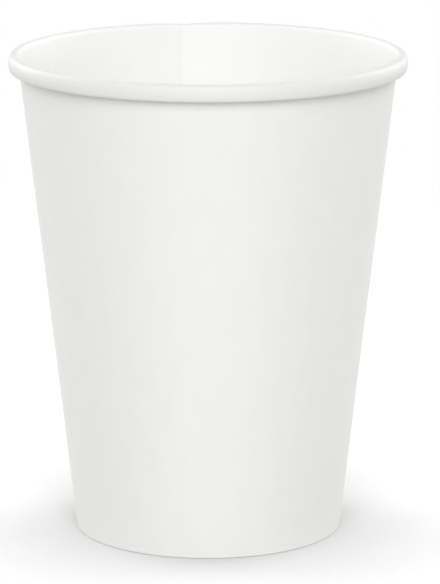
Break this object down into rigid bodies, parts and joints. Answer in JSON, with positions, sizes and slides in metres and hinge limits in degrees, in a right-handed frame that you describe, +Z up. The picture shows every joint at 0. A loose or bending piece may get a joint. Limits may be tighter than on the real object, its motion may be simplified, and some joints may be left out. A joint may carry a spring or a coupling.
{
  "type": "paper coffee cup",
  "caption": "Plain white single-wall paper cup for hot drinks, with rolled rim, lapped side seam and recessed bottom sealed in a folded base ring.",
  "frame": {"origin": "centre of the base ring, on the surface that the cup stands on", "axes": "+Z up along the cup's axis, towards the rim; the side seam is at the back, its inner edge 9 degrees from +Y towards -X"},
  "size_m": [0.09, 0.09, 0.1095],
  "materials": {
    "sidewall_board": "matte",
    "bottom_board": "matte"
  },
  "bodies": {
    "root": {"sidewall": "sidewall_board", "bottom": "bottom_board"}
  },
  "joints": []
}
